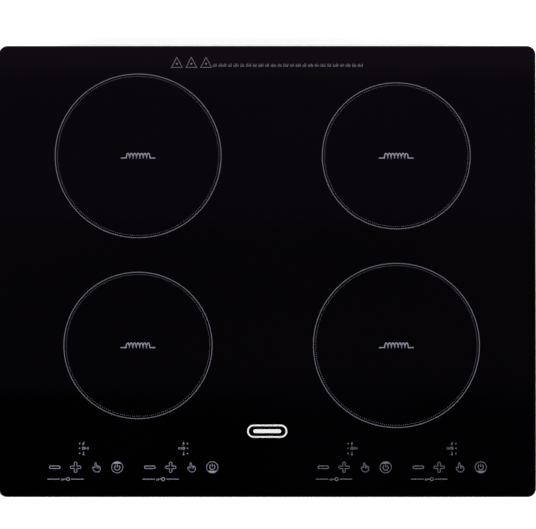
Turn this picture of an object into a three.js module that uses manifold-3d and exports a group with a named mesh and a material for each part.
// A built-in induction hob with four cooking zones, as an assembly of separate pieces.
// Millimetres. +X is to the user's right, +Y to the rear and +Z up.
// The origin is at the centre of the housing's underside.
import * as THREE from "three";
import { mergeVertices } from "three/addons/utils/BufferGeometryUtils.js";
import Module from "manifold-3d";

// ---------------------------------------------------------------- driving dimensions

const CONTACT_GAP = 0.3; // kept between two pieces that touch
const SINK_IN = 0.2; // how far a joined feature reaches into what it stands on
const HOLE_CLEARANCE = 0.3; // a hole's radius over the radius of what passes through it
const OVERCUT = 1; // how far a cutter runs past what it cuts
const LEAST_RADIUS = 1; // of a rounded rectangle's corners

// Flat sides of round shapes, and steps round a rounded corner.
const FACETS = { hexagon: 6, foot: 8, screw: 10, hole: 12, head: 14, plug: 16, hub: 20, ring: 32 };
const STEPS = { glass: 6, sheet: 5, clamp: 4, ring: 3, bead: 2 };

const GLASS = { width: 600, depth: 510, thickness: 4, cornerRadius: 10, edgeBevel: 1 };
const SEAL = { inset: 4, width: 10, thickness: 3 };
const ADHESIVE = { inset: 1.5, width: 5, thickness: 1 };

const TRAY = {
  sideOverhang: 23, // from the glass's edge in to the side walls
  endOverhang: 18, // from the glass's edge in to the front and rear walls
  height: 53,
  sheet: 0.8,
  cornerRadius: 12,
  foldRadius: 2.5,
  flangeWidth: 8,
  ledgeHeight: 24, // the stepped walls' ledge, above the underside
  sideLedge: 27,
  endLedge: 12,
  lip: 2, // of the upper frame, down inside the lower tray's walls
};
const BEAD = {
  width: 8,
  height: 1.5,
  endFlat: 2, // the straight part of a bead's end
  pitch: 36,
  boardPitch: 50,
  frontGap: 40,
  rearGap: 12,
};
const VENT = { slotWidth: 5, pitch: 10, bridge: 8, edge: 4 };
const EXHAUST = { slotWidth: 5, pitch: 13, perBank: 12, height: 12, bankOffset: 140, bottom: 6 };

const ZONE = {
  largeRadius: 89,
  smallRadius: 79,
  sideGap: 43, // from the tray's side wall to a large coil
  endShare: 0.2115, // of the spare depth, at each end of the two rows of coils
};
const COIL = {
  micaThickness: 0.5,
  micaShare: 0.27, // of the room from the rear large coil to the adhesive, covered by the mica sheet
  windingThickness: 4.5,
  windingInnerRadius: 26,
  windingRimGap: 4,
  formerThickness: 1.6,
  rimHeight: 2.8,
  rimThickness: 1.6,
  ferriteThickness: 5,
  ferriteWidth: 14,
  ferriteInnerRadius: 15.5,
  ferriteRimGap: 7,
  ferriteCount: 8,
  springHeight: 5.5,
};
const SENSOR = {
  padRadius: 8,
  bodyRadius: 10,
  collarRadius: 13,
  collarHeight: 2,
  tailRadius: 6,
  tailLength: 4,
};
const SPRING = {
  sheet: 0.8,
  hubInner: 24,
  hubOuter: 30,
  hubFacets: 18,
  armOverlap: 2, // of an arm's root, over the hub
  armReach: 58,
  armWidth: 10,
  flatShare: 1 / 6, // of an arm's run, level at each end
  arms: 3,
};

const DECK = {
  sheet: 1,
  rearGap: 6,
  legOffset: 3,
  zoneHoleRadius: 21,
  windowWidth: 40,
  windowLength: 120,
};
const BOARD = { thickness: 1.6, standoff: 7.5, footRadius: 3, footInset: 8 };
const POWER = { width: 150, frontGap: 72, sideGap: 8, fanGap: 16, headroom: 4 };
const HEAT_SINK = { width: 60, endMargin: 35, base: 4, fins: 9, finThickness: 1.6 };
const TRANSISTOR = { width: 16, height: 16, thickness: 5, count: 4, clipHeight: 7, clipThickness: 2 };
const CAPACITOR = { width: 20, length: 40, cornerRadius: 2, edgeBevel: 1, endMargin: 55, offset: 52 };
const FILTER = {
  width: 96,
  length: 96,
  gap: 12,
  chokeRadius: 16,
  chokeTube: 7,
  chokeFlats: 8, // round the tube
  chokeFacets: 18, // round the ring
};
const FAN = {
  size: 92,
  height: 25,
  rim: 3, // from the bore to the frame's flat sides
  tipClearance: 2,
  hubRadius: 18,
  topRecess: 1, // of the rotor, below the frame's top
  motorHeight: 3,
  blades: 9,
  bladeThickness: 1.4,
  bladeChord: 20,
  bladePitch: 40,
  bladeSink: 1.5, // of a blade's root, into the hub
  strutWidth: 4,
  strutSink: 1, // of a strut's end, into the frame
  rearGap: 18,
  cornerRadius: 5,
};

const TOUCH = {
  boardMiddle: 150, // from the centre line to a board's middle
  boardWidth: 200,
  frontMargin: 6,
  length: 40,
  keyRow: 33.3, // from the glass's front edge
  keyPitch: 23.2,
  keys: 4, // in a group
  groupPitch: 106,
  keySpringRadius: 4,
  displayWidth: 30,
  displayDepth: 14,
  displayRow: 54, // from the glass's front edge
  displayOffset: 26, // from the middle of its group of keys, away from the board's middle
  springHeight: 4,
  carrierWall: 2,
  carrierDrop: 4,
  legSize: 8,
};
// The ribbon cable's socket on a power board.
const HEADER = { depth: 6, height: 6, inset: 4, margin: 4 };
const RIBBON = { width: 16, thickness: 1.2, inset: 31, drop: 4 };

const TERMINAL = {
  width: 82, // the mouth
  length: 52,
  height: 27,
  wall: 2,
  flange: 5,
  coverThickness: 1.8,
  coverRecess: 0.2,
  coverClearance: 0.5,
  hingeHeight: 2.8,
  hingeInset: 3.6,
  pinRadius: 1,
  pinEndGap: 0.5, // from a pin's end to the box's outer face
  knuckleRadius: 1.7,
  gripWidth: 16,
  gripThickness: 2,
  gripHeight: 2,
  gripInset: 5, // from the cover's rear edge
  blockShare: 0.42, // of the mouth's length, from its front to the block's middle
  blockWidth: 62,
  blockDepth: 20,
  blockHeight: 12,
  poles: 5,
  barrier: 1.6,
  barrierDrop: 3, // of the barriers, below the block's body
  barrierRecess: 1, // of the barriers, below the block's top
  screwRadius: 3,
  screwRecess: 1, // of a screw's head, above the barriers' lower edges
};
const GLAND = { boreRadius: 6.5, wall: 2, nutWall: 2, reach: 10.5, nutThickness: 4, collar: 7.5 };

const CLAMP = {
  screwRadius: 2.5,
  headRadius: 5,
  headHeight: 3,
  travel: 15, // how far the screw lowers the bracket
  screwEnd: 2, // of the screw past the nut, at its lowest
  nutRadius: 5,
  nutHeight: 4.5,
  inset: 11, // from the side wall to the screw
  fromCentre: 150,
  width: 18,
  thickness: 1.5,
  reach: 31,
  ribWidth: 4.5,
  ribHeight: 1.5,
  ribStart: 3, // past the screw's head
  ribEnd: 4, // short of the arm's end
};

// ---------------------------------------------------------------- derived levels and places

const glassUnderside = TRAY.height + ADHESIVE.thickness;
const tray = {
  halfWidth: GLASS.width / 2 - TRAY.sideOverhang,
  halfDepth: GLASS.depth / 2 - TRAY.endOverhang,
};
const lower = {
  halfWidth: tray.halfWidth - TRAY.sideLedge,
  halfDepth: tray.halfDepth - TRAY.endLedge,
};
const floorTop = TRAY.sheet;
const ledgeTop = TRAY.ledgeHeight + TRAY.sheet;
const innerRear = tray.halfDepth - TRAY.sheet;
const lowerInnerRear = lower.halfDepth - TRAY.sheet;

const micaTop = glassUnderside - CONTACT_GAP;
const micaBottom = micaTop - COIL.micaThickness;
const windingTop = micaBottom - CONTACT_GAP;
const windingBottom = windingTop - COIL.windingThickness;
const formerTop = windingBottom - CONTACT_GAP;
const formerBottom = formerTop - COIL.formerThickness;
const ferriteTop = formerBottom - CONTACT_GAP;
const ferriteBottom = ferriteTop - COIL.ferriteThickness;
const springTop = ferriteBottom - CONTACT_GAP;
const springBottom = springTop - COIL.springHeight;
const deckTop = springBottom - CONTACT_GAP;
const deckBottom = deckTop - DECK.sheet;

const touchFront = -tray.halfDepth + TRAY.sheet + TOUCH.frontMargin;
const touchRear = touchFront + TOUCH.length;
const zoneX = tray.halfWidth - TRAY.sheet - ZONE.sideGap - ZONE.largeRadius;
// Two rows, of which one stands a large radius in from each end.
const rowsDepth = 3 * ZONE.largeRadius + ZONE.smallRadius;
const zoneEndGap = (innerRear - touchRear - rowsDepth) * ZONE.endShare;
const rearZoneY = innerRear - zoneEndGap - ZONE.largeRadius;
const frontZoneY = touchRear + zoneEndGap + ZONE.largeRadius;
const adhesiveRear = tray.halfDepth - ADHESIVE.inset - ADHESIVE.width;
const micaMargin = (adhesiveRear - rearZoneY - ZONE.largeRadius) * COIL.micaShare;
const ZONES = [
  { name: "rear_left", x: -zoneX, y: rearZoneY, radius: ZONE.largeRadius },
  { name: "rear_right", x: zoneX, y: rearZoneY, radius: ZONE.smallRadius },
  { name: "front_left", x: -zoneX, y: frontZoneY, radius: ZONE.smallRadius },
  { name: "front_right", x: zoneX, y: frontZoneY, radius: ZONE.largeRadius },
];
const SIDES = [
  { name: "left", sign: -1 },
  { name: "right", sign: 1 },
];

const fanBottom = floorTop + CONTACT_GAP;
const fanBore = FAN.size / 2 - FAN.rim;
const bladeTip = fanBore - FAN.tipClearance;
const boardX = lower.halfWidth - TRAY.sheet - POWER.sideGap - POWER.width / 2;
const fanY = lowerInnerRear - FAN.rearGap - FAN.size / 2;
const boardFront = -lowerInnerRear + POWER.frontGap;
const boardLength = fanY - FAN.size / 2 - POWER.fanGap - boardFront;
const boardY = boardFront + boardLength / 2;
const sinkLength = boardLength - 2 * HEAT_SINK.endMargin;
const transistorPitch = sinkLength / TRANSISTOR.count;
const capacitorPitch = boardLength - 2 * CAPACITOR.endMargin - CAPACITOR.length;
const boardBottom = floorTop + BOARD.standoff;
const boardTop = boardBottom + BOARD.thickness;
const componentBottom = boardTop + CONTACT_GAP;
const componentTop = deckBottom - POWER.headroom;

const terminalRear =
  lowerInnerRear - TRAY.foldRadius - CONTACT_GAP - TERMINAL.flange - TERMINAL.wall;
const terminalFront = terminalRear - TERMINAL.length;
const terminalMouth = { x: TERMINAL.width / 2, y: [terminalFront, terminalRear] };
const gland = {
  tubeRadius: GLAND.boreRadius + GLAND.wall,
  nutRadius: GLAND.boreRadius + GLAND.wall + GLAND.nutWall,
  height: (TERMINAL.coverRecess + TERMINAL.coverThickness + TRAY.ledgeHeight) / 2,
};
const filterY = terminalFront - TERMINAL.wall - TERMINAL.flange - FILTER.gap - FILTER.length / 2;

const touchBoardTop = glassUnderside - CONTACT_GAP - TOUCH.springHeight;
const touchBoardBottom = touchBoardTop - BOARD.thickness;
const carrierTop = touchBoardBottom - CONTACT_GAP;
const keyRowY = -GLASS.depth / 2 + TOUCH.keyRow;
const displayRowY = -GLASS.depth / 2 + TOUCH.displayRow;
const deckFront = touchRear + 2 * RIBBON.drop + RIBBON.thickness + CONTACT_GAP;

// ---------------------------------------------------------------- geometry helpers

const wasm = await Module();
wasm.setup();

// Corners are set on this grid before a join or a cut, so that faces meant to be level are level.
const GRID = 1e-4;

// A closed geometry as a manifold-3d solid.
function solid(geometry) {
  const bare = geometry.clone();
  bare.deleteAttribute("normal");
  bare.deleteAttribute("uv");
  const corners = bare.attributes.position.array;
  corners.forEach((value, k) => {
    corners[k] = Math.round(value / GRID) * GRID;
  });
  const merged = mergeVertices(bare, GRID);
  return new wasm.Manifold(
    new wasm.Mesh({
      numProp: 3,
      vertProperties: merged.attributes.position.array,
      triVerts: Uint32Array.from(merged.index.array),
    }),
  );
}

// A manifold-3d solid as a three.js geometry.
function geometryOf(made) {
  const mesh = made.getMesh();
  const geometry = new THREE.BufferGeometry();
  geometry.setAttribute("position", new THREE.BufferAttribute(mesh.vertProperties, 3));
  geometry.setIndex(new THREE.BufferAttribute(mesh.triVerts, 1));
  geometry.computeVertexNormals();
  return geometry;
}

function join(...geometries) {
  return geometryOf(geometries.map(solid).reduce((all, next) => all.add(next)));
}

function cut(geometry, ...tools) {
  return geometryOf(tools.map(solid).reduce((left, tool) => left.subtract(tool), solid(geometry)));
}

// A box from its spans along X, Y and Z.
function box(x, y, z) {
  return new THREE.BoxGeometry(x[1] - x[0], y[1] - y[0], z[1] - z[0]).translate(
    (x[0] + x[1]) / 2,
    (y[0] + y[1]) / 2,
    (z[0] + z[1]) / 2,
  );
}

// The span of a length about a middle.
function around(middle, length) {
  return [middle - length / 2, middle + length / 2];
}

// A vertical rod.
function rod(x, y, z, radius, segments = FACETS.plug) {
  return new THREE.CylinderGeometry(radius, radius, z[1] - z[0], segments)
    .rotateX(Math.PI / 2)
    .translate(x, y, (z[0] + z[1]) / 2);
}

// A rod along Y.
function rodAlongY(x, y, z, radius, segments = FACETS.plug) {
  return new THREE.CylinderGeometry(radius, radius, y[1] - y[0], segments).translate(
    x,
    (y[0] + y[1]) / 2,
    z,
  );
}

// A rod along X.
function rodAlongX(x, y, z, radius, segments = FACETS.hole) {
  return new THREE.CylinderGeometry(radius, radius, x[1] - x[0], segments)
    .rotateZ(Math.PI / 2)
    .translate((x[0] + x[1]) / 2, y, z);
}

function roundedRectangle(halfWidth, halfDepth, radius) {
  const x = halfWidth - radius;
  const y = halfDepth - radius;
  const shape = new THREE.Shape();
  shape.moveTo(-x, -halfDepth);
  shape.lineTo(x, -halfDepth);
  shape.absarc(x, -y, radius, -Math.PI / 2, 0);
  shape.lineTo(halfWidth, y);
  shape.absarc(x, y, radius, 0, Math.PI / 2);
  shape.lineTo(-x, halfDepth);
  shape.absarc(-x, y, radius, Math.PI / 2, Math.PI);
  shape.lineTo(-halfWidth, -y);
  shape.absarc(-x, -y, radius, Math.PI, 1.5 * Math.PI);
  return shape;
}

// A shape's plate between two heights.
function plate(shape, z, curveSegments = STEPS.sheet) {
  return new THREE.ExtrudeGeometry(shape, {
    depth: z[1] - z[0],
    bevelEnabled: false,
    curveSegments,
  }).translate(0, 0, z[0]);
}

// A plate whose lower and upper edges are bevelled, inside the shape's outline.
function bevelledPlate(shape, z, bevel, curveSegments = STEPS.sheet, bevelSegments = 1) {
  return new THREE.ExtrudeGeometry(shape, {
    depth: z[1] - z[0] - 2 * bevel,
    bevelEnabled: true,
    bevelThickness: bevel,
    bevelSize: bevel,
    bevelOffset: -bevel,
    bevelSegments,
    curveSegments,
  }).translate(0, 0, z[0] + bevel);
}

// A frame between two rounded rectangles.
function frame(outer, inner, z, curveSegments = STEPS.sheet) {
  const shape = roundedRectangle(...outer);
  shape.holes.push(roundedRectangle(...inner));
  return plate(shape, z, curveSegments);
}

// A ring from a closed profile of [radius, height] points, which run anticlockwise.
function turned(profile, segments = FACETS.ring) {
  const points = [...profile, profile[0]].map(([r, z]) => new THREE.Vector2(r, z));
  return new THREE.LatheGeometry(points, segments).rotateX(Math.PI / 2);
}

// ---------------------------------------------------------------- materials

function material(color, roughness, metalness = 0) {
  return new THREE.MeshStandardMaterial({ color, roughness, metalness });
}

const MATERIALS = {
  glass: material(0x07070b, 0.06),
  foam: material(0x16161a, 0.95),
  silicone: material(0x2a2a2c, 0.6),
  steel: material(0x8e9092, 0.45, 0.9),
  aluminium: material(0xb9bcc0, 0.4, 0.9),
  formerPlastic: material(0x2e2c2a, 0.7),
  copper: material(0xa65a2c, 0.4, 0.8),
  ferrite: material(0x3a3c40, 0.8),
  mica: material(0xb8a88a, 0.7),
  sensorRubber: material(0xb9b4aa, 0.7),
  springSteel: material(0x9a9ca0, 0.35, 0.9),
  circuitBoard: material(0x1d5a35, 0.55),
  heatSink: material(0xa8abb0, 0.45, 0.9),
  semiconductor: material(0x1b1b1d, 0.5),
  capacitor: material(0xb23a24, 0.5),
  choke: material(0x8a4a22, 0.5, 0.4),
  fanPlastic: material(0x151517, 0.5),
  terminalPlastic: material(0xcfcabb, 0.55),
  glandPlastic: material(0x3a3b3e, 0.6),
  ribbon: material(0x8d9096, 0.6),
  zinc: material(0xb4b6b4, 0.4, 0.9),
};

const hob = new THREE.Group();

function add(parent, name, geometry, slot) {
  const mesh = new THREE.Mesh(geometry, MATERIALS[slot]);
  mesh.name = name;
  parent.add(mesh);
  return mesh;
}

function groupAt(x, y, z = 0) {
  const group = new THREE.Group();
  group.position.set(x, y, z);
  hob.add(group);
  return group;
}

// ---------------------------------------------------------------- glass, adhesive and seal

function glassTop() {
  const outline = roundedRectangle(GLASS.width / 2, GLASS.depth / 2, GLASS.cornerRadius);
  const z = [glassUnderside, glassUnderside + GLASS.thickness];
  return bevelledPlate(outline, z, GLASS.edgeBevel, STEPS.glass);
}

// The rectangle that lies an inset inside the glass's outline.
function insideGlass(inset) {
  return [
    GLASS.width / 2 - inset,
    GLASS.depth / 2 - inset,
    Math.max(GLASS.cornerRadius - inset, LEAST_RADIUS),
  ];
}

// The rectangle that lies an inset inside the tray's walls.
function insideTray(inset) {
  return [
    tray.halfWidth - inset,
    tray.halfDepth - inset,
    Math.max(TRAY.cornerRadius - inset, LEAST_RADIUS),
  ];
}

function perimeterSeal() {
  const z = [glassUnderside - SEAL.thickness, glassUnderside];
  return frame(insideGlass(SEAL.inset), insideGlass(SEAL.inset + SEAL.width), z, STEPS.ring);
}

function glassAdhesive() {
  const z = [TRAY.height, glassUnderside];
  const inner = insideTray(ADHESIVE.inset + ADHESIVE.width);
  return frame(insideTray(ADHESIVE.inset), inner, z, STEPS.ring);
}

// ---------------------------------------------------------------- housing tray

// The rectangle that lies an inset inside the lower tray's walls.
function insideLower(inset) {
  return [
    lower.halfWidth - inset,
    lower.halfDepth - inset,
    Math.max(TRAY.cornerRadius - inset, LEAST_RADIUS),
  ];
}

// The lower tray's floor and walls, which end just under the frame's ledge.
function trayShell() {
  const t = TRAY.sheet;
  const rim = TRAY.ledgeHeight - CONTACT_GAP;
  const fold = TRAY.foldRadius;
  const above = rim + fold;
  return cut(
    bevelledPlate(roundedRectangle(...insideLower(0)), [0, above], fold),
    bevelledPlate(roundedRectangle(...insideLower(t)), [t, above + OVERCUT + fold], fold),
    box(
      [-tray.halfWidth, tray.halfWidth],
      [-tray.halfDepth, tray.halfDepth],
      [rim, above + OVERCUT],
    ),
  );
}

// The air intake's slots, inside the circle of a fan's bore.
function intakeSlots(x, y) {
  const slots = [];
  const reach = fanBore - VENT.edge;
  const rows = Math.floor((2 * reach - VENT.slotWidth) / VENT.pitch);
  for (let row = 0; row <= rows; row += 1) {
    const offset = (row - rows / 2) * VENT.pitch;
    const far = Math.abs(offset) + VENT.slotWidth / 2;
    const half = Math.sqrt(Math.max(reach * reach - far * far, 0));
    if (half < VENT.bridge + VENT.slotWidth) continue;
    for (const sign of [-1, 1]) {
      const ends = [sign * (VENT.bridge / 2), sign * half].sort((a, b) => a - b);
      const across = [x + ends[0], x + ends[1]];
      const z = [-OVERCUT, floorTop + OVERCUT];
      slots.push(box(across, around(y + offset, VENT.slotWidth), z));
    }
  }
  return slots;
}

// Long beads pressed up into the floor, two each side of the middle and two under each power board.
const beadPlaces = SIDES.flatMap(({ sign }) => [
  { x: (sign * BEAD.pitch) / 2, rear: filterY - FILTER.length / 2 },
  { x: (sign * 3 * BEAD.pitch) / 2, rear: filterY - FILTER.length / 2 },
  { x: sign * boardX - BEAD.boardPitch / 2, rear: fanY - FAN.size / 2 },
  { x: sign * boardX + BEAD.boardPitch / 2, rear: fanY - FAN.size / 2 },
]);

// A bead's solid, grown outwards by a wall.
function bead({ x, rear }, z, wall) {
  const y = [-lowerInnerRear + BEAD.frontGap, rear - BEAD.rearGap];
  const half = BEAD.width / 2 + wall;
  const outline = roundedRectangle(half, (y[1] - y[0]) / 2 + wall, half - BEAD.endFlat / 2);
  return plate(outline, z, STEPS.bead).translate(x, (y[0] + y[1]) / 2, 0);
}

// Two banks of upright exhaust slots in the front wall.
function exhaustSlots() {
  const slots = [];
  const wall = [-lower.halfDepth - OVERCUT, -lowerInnerRear + OVERCUT];
  for (const { sign } of SIDES) {
    for (let k = 0; k < EXHAUST.perBank; k += 1) {
      const x = sign * EXHAUST.bankOffset + (k - (EXHAUST.perBank - 1) / 2) * EXHAUST.pitch;
      const z = [EXHAUST.bottom, EXHAUST.bottom + EXHAUST.height];
      slots.push(box(around(x, EXHAUST.slotWidth), wall, z));
    }
  }
  return slots;
}

// The clamps' places, with the way each stowed arm points along Y.
const clampPlaces = [];
for (const { name, sign } of SIDES) {
  for (const end of [-1, 1]) {
    clampPlaces.push({
      name: (end < 0 ? "front_" : "rear_") + name,
      x: sign * (tray.halfWidth - CLAMP.inset),
      y: end * CLAMP.fromCentre,
      towards: -end,
    });
  }
}

// The lower tray with its beads, air slots, gland hole and terminal mouth.
function housingTray() {
  const bosses = beadPlaces.map((place) =>
    bead(place, [floorTop - SINK_IN, BEAD.height + TRAY.sheet], TRAY.sheet),
  );
  const grooves = beadPlaces.map((place) => bead(place, [-OVERCUT, BEAD.height], 0));
  const glandHole = rodAlongY(
    0,
    [lowerInnerRear - OVERCUT, lower.halfDepth + OVERCUT],
    gland.height,
    gland.tubeRadius + HOLE_CLEARANCE,
  );
  const mouth = box(
    [-terminalMouth.x, terminalMouth.x],
    terminalMouth.y,
    [-OVERCUT, floorTop + OVERCUT],
  );
  return cut(
    join(trayShell(), ...bosses),
    ...grooves,
    ...SIDES.flatMap(({ sign }) => intakeSlots(sign * boardX, fanY)),
    ...exhaustSlots(),
    glandHole,
    mouth,
  );
}

// The upper frame: a lip inside the tray's walls, a ledge, upper walls and a flange under the glass.
function trayFrame() {
  const t = TRAY.sheet;
  const lip = t + CONTACT_GAP;
  const { ledgeHeight, height } = TRAY;
  const nuts = clampPlaces.map(({ x, y }) =>
    rod(x, y, [ledgeTop - SINK_IN, ledgeTop + CLAMP.nutHeight], CLAMP.nutRadius, FACETS.hexagon),
  );
  const screwHoles = clampPlaces.map(({ x, y }) => {
    const z = [ledgeHeight - OVERCUT, ledgeTop + CLAMP.nutHeight + OVERCUT];
    return rod(x, y, z, CLAMP.screwRadius + HOLE_CLEARANCE, FACETS.screw);
  });
  const shell = join(
    frame(insideLower(lip), insideLower(lip + t), [ledgeHeight - TRAY.lip, ledgeTop]),
    frame(insideTray(0), insideLower(lip + t), [ledgeHeight, ledgeTop]),
    frame(insideTray(0), insideTray(t), [ledgeHeight, height]),
    frame(insideTray(0), insideTray(TRAY.flangeWidth), [height - t, height]),
  );
  return cut(join(shell, ...nuts), ...screwHoles);
}

// ---------------------------------------------------------------- coil deck and mica sheet

// A sheet channel whose side legs stand on the tray's ledges, with a hole under each coil.
function coilDeck() {
  const half = lower.halfWidth + DECK.legOffset;
  const inside = half - DECK.sheet;
  const legBottom = ledgeTop + CONTACT_GAP;
  const channel = new THREE.Shape();
  channel.moveTo(-half, legBottom);
  channel.lineTo(-inside, legBottom);
  channel.lineTo(-inside, deckBottom);
  channel.lineTo(inside, deckBottom);
  channel.lineTo(inside, legBottom);
  channel.lineTo(half, legBottom);
  channel.lineTo(half, deckTop);
  channel.lineTo(-half, deckTop);
  const deckRear = innerRear - DECK.rearGap;
  const depth = deckRear - deckFront;
  const body = new THREE.ExtrudeGeometry(channel, { depth, bevelEnabled: false })
    .rotateX(Math.PI / 2)
    .translate(0, deckRear, 0);
  const through = [deckBottom - OVERCUT, deckTop + OVERCUT];
  const holes = ZONES.map(({ x, y }) => rod(x, y, through, DECK.zoneHoleRadius, FACETS.hub));
  const windows = [rearZoneY, frontZoneY].map((zoneY) =>
    box(around(0, DECK.windowWidth), around(zoneY, DECK.windowLength), through),
  );
  return cut(body, ...holes, ...windows);
}

// One sheet over all four coils, with a hole for each sensor.
function micaSheet() {
  const reach = ZONE.largeRadius + micaMargin;
  const body = box(
    [-zoneX - reach, zoneX + reach],
    [frontZoneY - reach, rearZoneY + reach],
    [micaBottom, micaTop],
  );
  const through = [micaBottom - OVERCUT, micaTop + OVERCUT];
  const holes = ZONES.map(({ x, y }) => rod(x, y, through, SENSOR.bodyRadius + CONTACT_GAP));
  return cut(body, ...holes);
}

// ---------------------------------------------------------------- coil units, each about its centre

function coilFormer(radius) {
  const hole = SENSOR.bodyRadius + CONTACT_GAP;
  const rim = radius - COIL.rimThickness;
  return turned([
    [hole, formerBottom],
    [radius, formerBottom],
    [radius, formerTop + COIL.rimHeight],
    [rim, formerTop + COIL.rimHeight],
    [rim, formerTop],
    [hole, formerTop],
  ]);
}

function litzWinding(radius) {
  return turned([
    [COIL.windingInnerRadius, windingBottom],
    [radius - COIL.windingRimGap, windingBottom],
    [radius - COIL.windingRimGap, windingTop],
    [COIL.windingInnerRadius, windingTop],
  ]);
}

// Radial bars that meet at their inner corners.
function ferriteSet(radius) {
  const bars = [];
  for (let k = 0; k < COIL.ferriteCount; k += 1) {
    const bar = box(
      [COIL.ferriteInnerRadius, radius - COIL.ferriteRimGap],
      around(0, COIL.ferriteWidth),
      [ferriteBottom, ferriteTop],
    );
    bars.push(bar.rotateZ((2 * Math.PI * (k + 0.5)) / COIL.ferriteCount));
  }
  return join(...bars);
}

function sensorPlug() {
  const padTop = micaTop;
  const shoulder = windingTop - SENSOR.collarHeight;
  const collarBottom = formerTop + CONTACT_GAP;
  const tail = formerBottom - SENSOR.tailLength;
  return turned(
    [
      [0, tail],
      [SENSOR.tailRadius, tail],
      [SENSOR.tailRadius, collarBottom],
      [SENSOR.collarRadius, collarBottom],
      [SENSOR.collarRadius, collarBottom + SENSOR.collarHeight],
      [SENSOR.padRadius, shoulder],
      [SENSOR.padRadius, padTop],
      [0, padTop],
    ],
    FACETS.plug,
  );
}

// A sheet-metal hub on the deck with arms that rise to the ferrites.
function supportSpring() {
  const hub = turned(
    [
      [SPRING.hubInner, springBottom],
      [SPRING.hubOuter, springBottom],
      [SPRING.hubOuter, springBottom + SPRING.sheet],
      [SPRING.hubInner, springBottom + SPRING.sheet],
    ],
    SPRING.hubFacets,
  );
  const start = SPRING.hubOuter - SPRING.armOverlap;
  const flat = (SPRING.armReach - start) * SPRING.flatShare;
  const upper = SPRING.armReach - flat;
  const rise = COIL.springHeight - SPRING.sheet;
  const arms = [];
  for (let k = 0; k < SPRING.arms; k += 1) {
    const side = new THREE.Shape();
    side.moveTo(start, springBottom);
    side.lineTo(start + flat, springBottom);
    side.lineTo(upper, springBottom + rise);
    side.lineTo(SPRING.armReach, springBottom + rise);
    side.lineTo(SPRING.armReach, springTop);
    side.lineTo(upper - SPRING.sheet, springTop);
    side.lineTo(start + flat - SPRING.sheet, springBottom + SPRING.sheet);
    side.lineTo(start, springBottom + SPRING.sheet);
    const arm = new THREE.ExtrudeGeometry(side, { depth: SPRING.armWidth, bevelEnabled: false })
      .rotateX(Math.PI / 2)
      .translate(0, SPRING.armWidth / 2, 0);
    arms.push(arm.rotateZ((2 * Math.PI * k) / SPRING.arms));
  }
  return join(hub, ...arms);
}

function addCoilUnit({ name, x, y, radius }) {
  const unit = groupAt(x, y);
  add(unit, "coil_former_" + name, coilFormer(radius), "formerPlastic");
  add(unit, "litz_winding_" + name, litzWinding(radius), "copper");
  add(unit, "ferrite_set_" + name, ferriteSet(radius), "ferrite");
  add(unit, "sensor_plug_" + name, sensorPlug(), "sensorRubber");
  add(unit, "support_spring_" + name, supportSpring(), "springSteel");
}

// ---------------------------------------------------------------- power electronics

// A bare board on four plastic feet that stand on the tray's floor.
function footedBoard(width, length) {
  const parts = [box(around(0, width), around(0, length), [boardBottom, boardTop])];
  for (const i of [-1, 1]) {
    for (const j of [-1, 1]) {
      const x = i * (width / 2 - BOARD.footInset);
      const y = j * (length / 2 - BOARD.footInset);
      const z = [floorTop + CONTACT_GAP, boardBottom + SINK_IN];
      parts.push(rod(x, y, z, BOARD.footRadius, FACETS.foot));
    }
  }
  return join(...parts);
}

// A footed board with the ribbon cable's socket at its front.
function powerBoard(sign) {
  const header = box(
    around(-sign * (POWER.width / 2 - RIBBON.inset), RIBBON.width + HEADER.margin),
    around(-boardLength / 2 + HEADER.inset, HEADER.depth),
    [boardTop - SINK_IN, boardTop + HEADER.height],
  );
  return join(footedBoard(POWER.width, boardLength), header);
}

// Upright fins along Y on a flat base.
function heatSink() {
  const half = HEAT_SINK.width / 2;
  const pitch = (HEAT_SINK.width - HEAT_SINK.finThickness) / (HEAT_SINK.fins - 1);
  const baseTop = componentBottom + HEAT_SINK.base;
  const comb = new THREE.Shape();
  comb.moveTo(-half, componentBottom);
  comb.lineTo(half, componentBottom);
  for (let k = HEAT_SINK.fins - 1; k >= 0; k -= 1) {
    const left = -half + k * pitch;
    comb.lineTo(left + HEAT_SINK.finThickness, componentTop);
    comb.lineTo(left, componentTop);
    if (k > 0) {
      comb.lineTo(left, baseTop);
      comb.lineTo(left - pitch + HEAT_SINK.finThickness, baseTop);
    }
  }
  return new THREE.ExtrudeGeometry(comb, { depth: sinkLength, bevelEnabled: false })
    .rotateX(Math.PI / 2)
    .translate(0, sinkLength / 2, 0);
}

// A span on one side of the middle, lower end first.
function onSide(sign, near, far) {
  return sign > 0 ? [near, far] : [-far, -near];
}

// Flat transistor packages against the heat sink's side, under one steel clip bar.
function transistorSet(sign) {
  const near = HEAT_SINK.width / 2 + CONTACT_GAP;
  const far = near + TRANSISTOR.thickness;
  const bar = onSide(sign, far - SINK_IN, far + TRANSISTOR.clipThickness);
  const z = [componentBottom, componentBottom + TRANSISTOR.height];
  const middle = componentBottom + TRANSISTOR.height / 2;
  const run = (TRANSISTOR.count - 1) * transistorPitch + TRANSISTOR.width;
  const packages = [];
  for (let k = 0; k < TRANSISTOR.count; k += 1) {
    const y = (k - (TRANSISTOR.count - 1) / 2) * transistorPitch;
    packages.push(box(onSide(sign, near, far), around(y, TRANSISTOR.width), z));
  }
  return join(box(bar, around(0, run), around(middle, TRANSISTOR.clipHeight)), ...packages);
}

function filmCapacitor() {
  const { width, length, cornerRadius, edgeBevel } = CAPACITOR;
  const outline = roundedRectangle(width / 2, length / 2, cornerRadius);
  return bevelledPlate(outline, [componentBottom, componentTop], edgeBevel, STEPS.bead);
}

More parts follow.
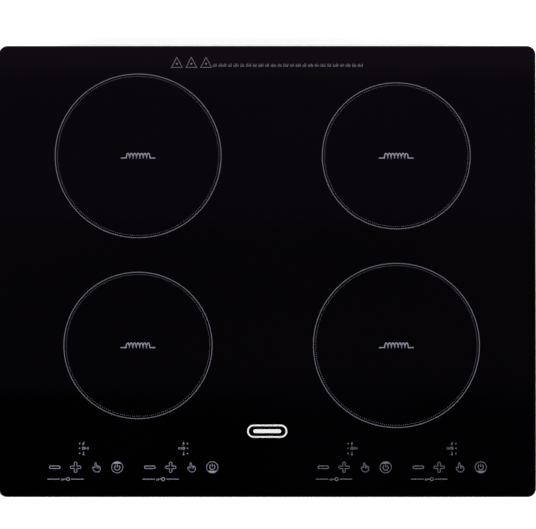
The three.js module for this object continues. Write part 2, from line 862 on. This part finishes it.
function addPowerModule({ name, sign }) {
  const module = groupAt(sign * boardX, boardY);
  add(module, "power_board_" + name, powerBoard(sign), "circuitBoard");
  add(module, "heat_sink_" + name, heatSink(), "heatSink");
  add(module, "transistor_set_" + name, transistorSet(sign), "semiconductor");
  for (const [place, end] of [["rear", 1], ["front", -1]]) {
    const capacitor = add(
      module,
      "resonant_capacitor_" + place + "_" + name,
      filmCapacitor(),
      "capacitor",
    );
    capacitor.position.set(-sign * CAPACITOR.offset, (end * capacitorPitch) / 2, 0);
  }
}

// A wound ring, whose tube has a flat side against the board.
function filterChoke() {
  const { chokeRadius, chokeTube, chokeFlats, chokeFacets } = FILTER;
  const middle = componentBottom + chokeTube;
  const corner = chokeTube / Math.cos(Math.PI / chokeFlats);
  const profile = [];
  for (let k = 0; k < chokeFlats; k += 1) {
    const angle = (2 * Math.PI * (k + 0.5)) / chokeFlats;
    profile.push([chokeRadius + corner * Math.cos(angle), middle + corner * Math.sin(angle)]);
  }
  return turned(profile, chokeFacets);
}

// ---------------------------------------------------------------- fans, each about its own axle

// A square frame round a bore, with a motor plate on four struts.
function fanFrame() {
  const top = fanBottom + FAN.height;
  const half = FAN.size / 2;
  const body = cut(
    plate(roundedRectangle(half, half, FAN.cornerRadius), [fanBottom, top], STEPS.ring),
    rod(0, 0, [fanBottom - OVERCUT, top + OVERCUT], fanBore, FACETS.ring),
  );
  const strutZ = [fanBottom, fanBottom + FAN.motorHeight];
  const reach = fanBore + FAN.strutSink;
  return join(
    body,
    rod(0, 0, strutZ, FAN.hubRadius, FACETS.hub),
    box([-reach, reach], around(0, FAN.strutWidth), strutZ),
    box(around(0, FAN.strutWidth), [-reach, reach], strutZ),
  );
}

// A hub with pitched blades.
function fanRotor() {
  const bottom = fanBottom + FAN.motorHeight + CONTACT_GAP;
  const top = fanBottom + FAN.height - FAN.topRecess;
  const middle = (bottom + top) / 2;
  const root = FAN.hubRadius - FAN.bladeSink;
  const parts = [rod(0, 0, [bottom, top], FAN.hubRadius, FACETS.hub)];
  for (let k = 0; k < FAN.blades; k += 1) {
    const blade = new THREE.BoxGeometry(bladeTip - root, FAN.bladeChord, FAN.bladeThickness)
      .rotateX((FAN.bladePitch * Math.PI) / 180)
      .translate((bladeTip + root) / 2, 0, middle)
      .rotateZ((2 * Math.PI * k) / FAN.blades);
    parts.push(blade);
  }
  return join(...parts);
}

function addFan({ name, sign }) {
  const fan = groupAt(sign * boardX, fanY);
  add(fan, "fan_frame_" + name, fanFrame(), "fanPlastic");
  add(fan, "fan_rotor_" + name, fanRotor(), "fanPlastic");
}

// ---------------------------------------------------------------- touch controls

// A board with its key springs and display blocks, which stand up to the glass.
function touchBoard(sign) {
  const board = box(
    around(sign * TOUCH.boardMiddle, TOUCH.boardWidth),
    [touchFront, touchRear],
    [touchBoardBottom, touchBoardTop],
  );
  const parts = [board];
  const reach = ((TOUCH.keys - 1) * TOUCH.keyPitch) / 2;
  for (const group of [-1, 1]) {
    const middle = sign * TOUCH.boardMiddle + (group * TOUCH.groupPitch) / 2;
    for (let key = 0; key < TOUCH.keys; key += 1) {
      const x = middle - reach + key * TOUCH.keyPitch;
      const z = [touchBoardTop - SINK_IN, touchBoardTop + TOUCH.springHeight];
      parts.push(rod(x, keyRowY, z, TOUCH.keySpringRadius, FACETS.foot));
    }
    parts.push(
      box(
        around(middle + group * TOUCH.displayOffset, TOUCH.displayWidth),
        around(displayRowY, TOUCH.displayDepth),
        [touchBoardTop - SINK_IN, touchBoardTop + TOUCH.springHeight - CONTACT_GAP],
      ),
    );
  }
  return join(...parts);
}

// A long moulded carrier under both boards, on legs that stand on the tray's floor.
function touchCarrier() {
  const half = TOUCH.boardMiddle + TOUCH.boardWidth / 2;
  const bottom = carrierTop - TOUCH.carrierDrop;
  const wall = TOUCH.carrierWall;
  const body = cut(
    box([-half, half], [touchFront, touchRear], [bottom, carrierTop]),
    box(
      [-half + wall, half - wall],
      [touchFront + wall, touchRear - wall],
      [bottom + wall, carrierTop + OVERCUT],
    ),
  );
  const legY = [
    -lowerInnerRear + TRAY.foldRadius + CONTACT_GAP,
    -lowerInnerRear + TRAY.foldRadius + CONTACT_GAP + TOUCH.legSize,
  ];
  const legs = [];
  for (const { sign } of SIDES) {
    for (const x of [TOUCH.boardMiddle - TOUCH.boardWidth / 2, half - 2 * TOUCH.legSize]) {
      legs.push(
        box(around(sign * x, TOUCH.legSize), legY, [floorTop + CONTACT_GAP, bottom + wall / 2]),
      );
    }
  }
  return join(body, ...legs);
}

// A flat cable from a touch board's rear edge down to its power board's header.
function ribbonCable(sign) {
  const t = RIBBON.thickness;
  const bend = RIBBON.drop / 2;
  const header = boardTop + HEADER.height + CONTACT_GAP;
  const rear = boardFront + HEADER.inset + HEADER.depth / 2;
  const front = touchRear + CONTACT_GAP;
  const down = front + 2 * bend;
  const upper = { x: front + bend, z: touchBoardTop - bend };
  const under = { x: down + bend, z: header + bend + t };
  const side = new THREE.Shape();
  side.moveTo(front, touchBoardTop);
  side.lineTo(upper.x, touchBoardTop);
  side.absarc(upper.x, upper.z, bend, Math.PI / 2, 0, true);
  side.lineTo(down, under.z);
  side.absarc(under.x, under.z, bend, Math.PI, 1.5 * Math.PI);
  side.lineTo(rear, header + t);
  side.lineTo(rear, header);
  side.lineTo(under.x, header);
  side.absarc(under.x, under.z, bend + t, 1.5 * Math.PI, Math.PI, true);
  side.lineTo(down - t, upper.z);
  side.absarc(upper.x, upper.z, bend - t, 0, Math.PI / 2);
  side.lineTo(front, touchBoardTop - t);
  const middle = sign * (boardX - POWER.width / 2 + RIBBON.inset);
  return new THREE.ExtrudeGeometry(side, {
    depth: RIBBON.width,
    bevelEnabled: false,
    curveSegments: STEPS.ring,
  })
    .rotateX(Math.PI / 2)
    .rotateZ(Math.PI / 2)
    .translate(middle - RIBBON.width / 2, 0, 0);
}

// ---------------------------------------------------------------- mains terminal

const hingeY = terminalFront + TERMINAL.hingeInset;
const boxBottom = floorTop + CONTACT_GAP;
const boxTop = boxBottom + TERMINAL.height;

// An open-bottomed box on a flange, with a hole for the gland and one for each hinge pin.
function terminalBox() {
  const { wall, flange } = TERMINAL;
  const x = terminalMouth.x;
  const [front, rear] = terminalMouth.y;
  const body = join(
    box([-x - wall, x + wall], [front - wall, rear + wall], [boxBottom, boxTop]),
    box(
      [-x - wall - flange, x + wall + flange],
      [front - wall - flange, rear + wall + flange],
      [boxBottom, boxBottom + wall],
    ),
  );
  return cut(
    body,
    box([-x, x], [front, rear], [boxBottom - OVERCUT, boxTop - wall]),
    rodAlongY(
      0,
      [rear - OVERCUT, rear + wall + OVERCUT],
      gland.height,
      gland.tubeRadius + HOLE_CLEARANCE,
    ),
    rodAlongX(
      [-x - wall - OVERCUT, x + wall + OVERCUT],
      hingeY,
      TERMINAL.hingeHeight,
      TERMINAL.pinRadius + HOLE_CLEARANCE,
    ),
  );
}

// The cover's plate with a knuckle and a pin at each end of its hinge.
function terminalCover() {
  const x = terminalMouth.x - TERMINAL.coverClearance;
  const plateZ = [TERMINAL.coverRecess, TERMINAL.coverRecess + TERMINAL.coverThickness];
  const rear = terminalRear - TERMINAL.coverClearance;
  const pinEnd = terminalMouth.x + TERMINAL.wall - TERMINAL.pinEndGap;
  const gripRear = rear - TERMINAL.gripInset;
  const grip = box(
    around(0, TERMINAL.gripWidth),
    [gripRear - TERMINAL.gripThickness, gripRear],
    [plateZ[1] - SINK_IN, plateZ[1] + TERMINAL.gripHeight],
  );
  return join(
    box([-x, x], [hingeY, rear], plateZ),
    rodAlongX([-x, x], hingeY, TERMINAL.hingeHeight, TERMINAL.knuckleRadius),
    rodAlongX([-pinEnd, pinEnd], hingeY, TERMINAL.hingeHeight, TERMINAL.pinRadius),
    grip,
  );
}

// A row of terminals between raised barriers, hung from the box's ceiling.
function terminalBlock() {
  const top = boxTop - TERMINAL.wall - CONTACT_GAP;
  const bottom = top - TERMINAL.blockHeight;
  const middle = terminalFront + TERMINAL.length * TERMINAL.blockShare;
  const y = around(middle, TERMINAL.blockDepth);
  const pitch = TERMINAL.blockWidth / TERMINAL.poles;
  const bodyBottom = bottom + TERMINAL.barrierDrop;
  const parts = [box(around(0, TERMINAL.blockWidth), y, [bodyBottom, top])];
  for (let k = 0; k <= TERMINAL.poles; k += 1) {
    const x = (k - TERMINAL.poles / 2) * pitch;
    parts.push(box(around(x, TERMINAL.barrier), y, [bottom, top - TERMINAL.barrierRecess]));
  }
  const screwZ = [bottom + TERMINAL.screwRecess, bodyBottom + SINK_IN];
  for (let k = 0; k < TERMINAL.poles; k += 1) {
    const x = (k - (TERMINAL.poles - 1) / 2) * pitch;
    parts.push(rod(x, middle, screwZ, TERMINAL.screwRadius, FACETS.foot));
  }
  return join(...parts);
}

// A bored tube through the rear wall, with a hexagonal nut inside the box and a collar outside.
function cableGland() {
  const outside = lower.halfDepth + CONTACT_GAP;
  const insideFace = terminalRear - CONTACT_GAP;
  const nut = [insideFace - GLAND.nutThickness, insideFace];
  const body = join(
    rodAlongY(0, [nut[0], outside + GLAND.reach], gland.height, gland.tubeRadius),
    rodAlongY(0, nut, gland.height, gland.nutRadius, FACETS.hexagon),
    rodAlongY(
      0,
      [outside, outside + GLAND.collar],
      gland.height,
      gland.nutRadius,
      FACETS.hexagon,
    ),
  );
  const through = [nut[0] - OVERCUT, outside + GLAND.reach + OVERCUT];
  return cut(body, rodAlongY(0, through, gland.height, GLAND.boreRadius));
}

// ---------------------------------------------------------------- clamps, each about its screw

const bracketTop = TRAY.ledgeHeight - CONTACT_GAP;
const bracketBottom = bracketTop - CLAMP.thickness;
const screwTop = ledgeTop + CLAMP.nutHeight + CLAMP.travel + CLAMP.screwEnd;

// A flat arm with a round heel, stowed along Y, and a pressed rib along its middle.
function clampBracket(towards) {
  const half = CLAMP.width / 2;
  const shape = new THREE.Shape();
  shape.moveTo(half, 0);
  shape.lineTo(half, CLAMP.reach);
  shape.lineTo(-half, CLAMP.reach);
  shape.lineTo(-half, 0);
  shape.absarc(0, 0, half, Math.PI, 2 * Math.PI);
  const arm = plate(shape, [bracketBottom, bracketTop], STEPS.clamp);
  const rib = box(
    around(0, CLAMP.ribWidth),
    [CLAMP.headRadius + CLAMP.ribStart, CLAMP.reach - CLAMP.ribEnd],
    [bracketBottom - CLAMP.ribHeight, bracketBottom + SINK_IN],
  );
  const through = [bracketBottom - OVERCUT, bracketTop + OVERCUT];
  const hole = rod(0, 0, through, CLAMP.screwRadius + HOLE_CLEARANCE, FACETS.hole);
  const bracket = cut(join(arm, rib), hole);
  return towards > 0 ? bracket : bracket.rotateZ(Math.PI);
}

function clampScrew() {
  const headTop = bracketBottom - CONTACT_GAP;
  return join(
    rod(0, 0, [headTop - CLAMP.headHeight, headTop], CLAMP.headRadius, FACETS.head),
    rod(0, 0, [headTop - SINK_IN, screwTop], CLAMP.screwRadius, FACETS.screw),
  );
}

function addClamp({ name, x, y, towards }) {
  const clamp = groupAt(x, y);
  add(clamp, "clamp_bracket_" + name, clampBracket(towards), "zinc");
  add(clamp, "clamp_screw_" + name, clampScrew(), "zinc");
}

// ---------------------------------------------------------------- assembly

add(hob, "glass_top", glassTop(), "glass");
add(hob, "perimeter_seal", perimeterSeal(), "foam");
add(hob, "glass_adhesive", glassAdhesive(), "silicone");
add(hob, "housing_tray", housingTray(), "steel");
add(hob, "tray_frame", trayFrame(), "steel");
add(hob, "coil_deck", coilDeck(), "aluminium");
add(hob, "mica_sheet", micaSheet(), "mica");
for (const zone of ZONES) addCoilUnit(zone);
for (const side of SIDES) {
  addPowerModule(side);
  addFan(side);
  add(hob, "touch_board_" + side.name, touchBoard(side.sign), "circuitBoard");
  add(hob, "ribbon_cable_" + side.name, ribbonCable(side.sign), "ribbon");
}
add(hob, "touch_carrier", touchCarrier(), "formerPlastic");
const filter = groupAt(0, filterY);
add(filter, "filter_board", footedBoard(FILTER.width, FILTER.length), "circuitBoard");
add(filter, "filter_choke", filterChoke(), "choke");
add(hob, "terminal_box", terminalBox(), "terminalPlastic");
add(hob, "terminal_block", terminalBlock(), "terminalPlastic");
add(hob, "terminal_cover", terminalCover(), "terminalPlastic");
add(hob, "cable_gland", cableGland(), "glandPlastic");
for (const place of clampPlaces) addClamp(place);

export default hob;
